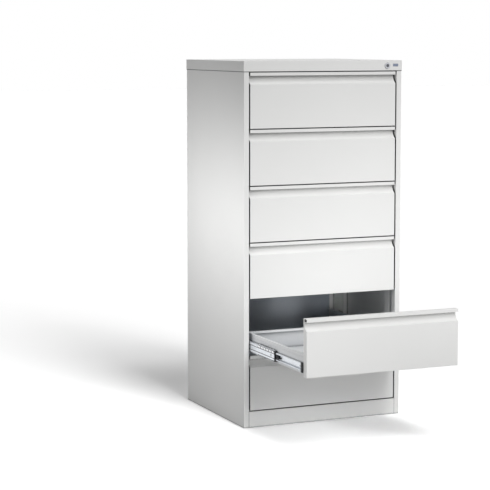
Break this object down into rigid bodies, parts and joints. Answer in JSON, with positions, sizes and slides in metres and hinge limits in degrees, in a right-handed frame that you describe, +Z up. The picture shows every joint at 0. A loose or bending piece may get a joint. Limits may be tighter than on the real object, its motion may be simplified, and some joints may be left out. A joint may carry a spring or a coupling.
{
  "type": "drawer filing cabinet",
  "caption": "Floor-standing sheet-steel filing cabinet with full-width grip drawers on telescopic slides, an overlapping top cover, a plinth and a central lock.",
  "frame": {"origin": "on the floor under the middle of the carcass, on the underside of the base panel", "axes": "+X to the right as seen from the front, +Y to the back, +Z up; the drawers open towards -Y"},
  "size_m": [0.653, 1.0415, 1.357],
  "materials": {
    "carcass_paint": "fine powder coat, light grey",
    "front_paint": "fine powder coat, near-white grey",
    "tray_paint": "fine powder coat, light grey",
    "slide_steel": "bright zinc plate",
    "zinc_steel": "zinc plate",
    "lock_chrome": "polished",
    "black_plastic": "moulded, matt"
  },
  "bodies": {
    "carcass": {"left_side_panel": "carcass_paint", "right_side_panel": "carcass_paint", "back_panel": "carcass_paint", "top_cover": "carcass_paint", "base_panel": "carcass_paint", "plinth_panel": "carcass_paint", "front_top_rail": "carcass_paint", "left_slide_uprights": "carcass_paint", "right_slide_uprights": "carcass_paint", "left_cabinet_rails": "slide_steel", "right_cabinet_rails": "slide_steel", "lock_housing": "lock_chrome", "lock_nut": "zinc_steel", "bar_guides": "black_plastic"},
    "lock_cylinder": {"lock_plug": "lock_chrome", "lock_cam": "zinc_steel"},
    "locking_bar": {"lock_bar": "zinc_steel", "lock_bar_fittings": "zinc_steel"},
    "drawer_1": {"drawer_1_front": "front_paint", "drawer_1_liner": "front_paint", "drawer_1_tray": "tray_paint", "drawer_1_rails": "slide_steel", "drawer_1_rail_bumpers": "black_plastic"},
    "drawer_1_middle": {"drawer_1_middle_rails": "slide_steel", "drawer_1_middle_rail_caps": "black_plastic"},
    "drawer_2": {"drawer_2_front": "front_paint", "drawer_2_liner": "front_paint", "drawer_2_tray": "tray_paint", "drawer_2_rails": "slide_steel", "drawer_2_rail_bumpers": "black_plastic"},
    "drawer_2_middle": {"drawer_2_middle_rails": "slide_steel", "drawer_2_middle_rail_caps": "black_plastic"},
    "drawer_3": {"drawer_3_front": "front_paint", "drawer_3_liner": "front_paint", "drawer_3_tray": "tray_paint", "drawer_3_rails": "slide_steel", "drawer_3_rail_bumpers": "black_plastic"},
    "drawer_3_middle": {"drawer_3_middle_rails": "slide_steel", "drawer_3_middle_rail_caps": "black_plastic"},
    "drawer_4": {"drawer_4_front": "front_paint", "drawer_4_liner": "front_paint", "drawer_4_tray": "tray_paint", "drawer_4_rails": "slide_steel", "drawer_4_rail_bumpers": "black_plastic"},
    "drawer_4_middle": {"drawer_4_middle_rails": "slide_steel", "drawer_4_middle_rail_caps": "black_plastic"},
    "drawer_5": {"drawer_5_front": "front_paint", "drawer_5_liner": "front_paint", "drawer_5_tray": "tray_paint", "drawer_5_rails": "slide_steel", "drawer_5_rail_bumpers": "black_plastic"},
    "drawer_5_middle": {"drawer_5_middle_rails": "slide_steel", "drawer_5_middle_rail_caps": "black_plastic"},
    "drawer_6": {"drawer_6_front": "front_paint", "drawer_6_liner": "front_paint", "drawer_6_tray": "tray_paint", "drawer_6_rails": "slide_steel", "drawer_6_rail_bumpers": "black_plastic"},
    "drawer_6_middle": {"drawer_6_middle_rails": "slide_steel", "drawer_6_middle_rail_caps": "black_plastic"}
  },
  "joints": [
    {"name": "lock_turn", "type": "hinge", "parent": "carcass", "child": "lock_cylinder", "pos_m": [0.264, -0.28, 1.337], "axis": [0, 1, 0], "range_deg": [0, 90]},
    {"name": "locking_bar_lift", "type": "slide", "parent": "carcass", "child": "locking_bar", "axis": [0, 0, 1], "range_m": [0, 0.01414]},
    {"name": "drawer_1_slide", "type": "slide", "parent": "carcass", "child": "drawer_1", "axis": [0, -1, 0], "range_m": [0, 0.5]},
    {"name": "drawer_1_middle_slide", "type": "slide", "parent": "carcass", "child": "drawer_1_middle", "axis": [0, -1, 0], "range_m": [0, 0.275]},
    {"name": "drawer_2_slide", "type": "slide", "parent": "carcass", "child": "drawer_2", "axis": [0, -1, 0], "range_m": [0, 0.5]},
    {"name": "drawer_2_middle_slide", "type": "slide", "parent": "carcass", "child": "drawer_2_middle", "axis": [0, -1, 0], "range_m": [0, 0.275]},
    {"name": "drawer_3_slide", "type": "slide", "parent": "carcass", "child": "drawer_3", "axis": [0, -1, 0], "range_m": [0, 0.5]},
    {"name": "drawer_3_middle_slide", "type": "slide", "parent": "carcass", "child": "drawer_3_middle", "axis": [0, -1, 0], "range_m": [0, 0.275]},
    {"name": "drawer_4_slide", "type": "slide", "parent": "carcass", "child": "drawer_4", "axis": [0, -1, 0], "range_m": [0, 0.5]},
    {"name": "drawer_4_middle_slide", "type": "slide", "parent": "carcass", "child": "drawer_4_middle", "axis": [0, -1, 0], "range_m": [0, 0.275]},
    {"name": "drawer_5_slide", "type": "slide", "parent": "carcass", "child": "drawer_5", "axis": [0, -1, 0], "range_m": [-0.48, 0.02]},
    {"name": "drawer_5_middle_slide", "type": "slide", "parent": "carcass", "child": "drawer_5_middle", "axis": [0, -1, 0], "range_m": [-0.264, 0.011]},
    {"name": "drawer_6_slide", "type": "slide", "parent": "carcass", "child": "drawer_6", "axis": [0, -1, 0], "range_m": [0, 0.5]},
    {"name": "drawer_6_middle_slide", "type": "slide", "parent": "carcass", "child": "drawer_6_middle", "axis": [0, -1, 0], "range_m": [0, 0.275]}
  ],
  "couplings": [
    {"joint": "lock_turn", "follows": "locking_bar_lift", "rad_per_m": 111.07},
    {"joint": "drawer_1_middle_slide", "follows": "drawer_1_slide", "ratio": 0.55},
    {"joint": "drawer_2_middle_slide", "follows": "drawer_2_slide", "ratio": 0.55},
    {"joint": "drawer_3_middle_slide", "follows": "drawer_3_slide", "ratio": 0.55},
    {"joint": "drawer_4_middle_slide", "follows": "drawer_4_slide", "ratio": 0.55},
    {"joint": "drawer_5_middle_slide", "follows": "drawer_5_slide", "ratio": 0.55},
    {"joint": "drawer_6_middle_slide", "follows": "drawer_6_slide", "ratio": 0.55}
  ]
}
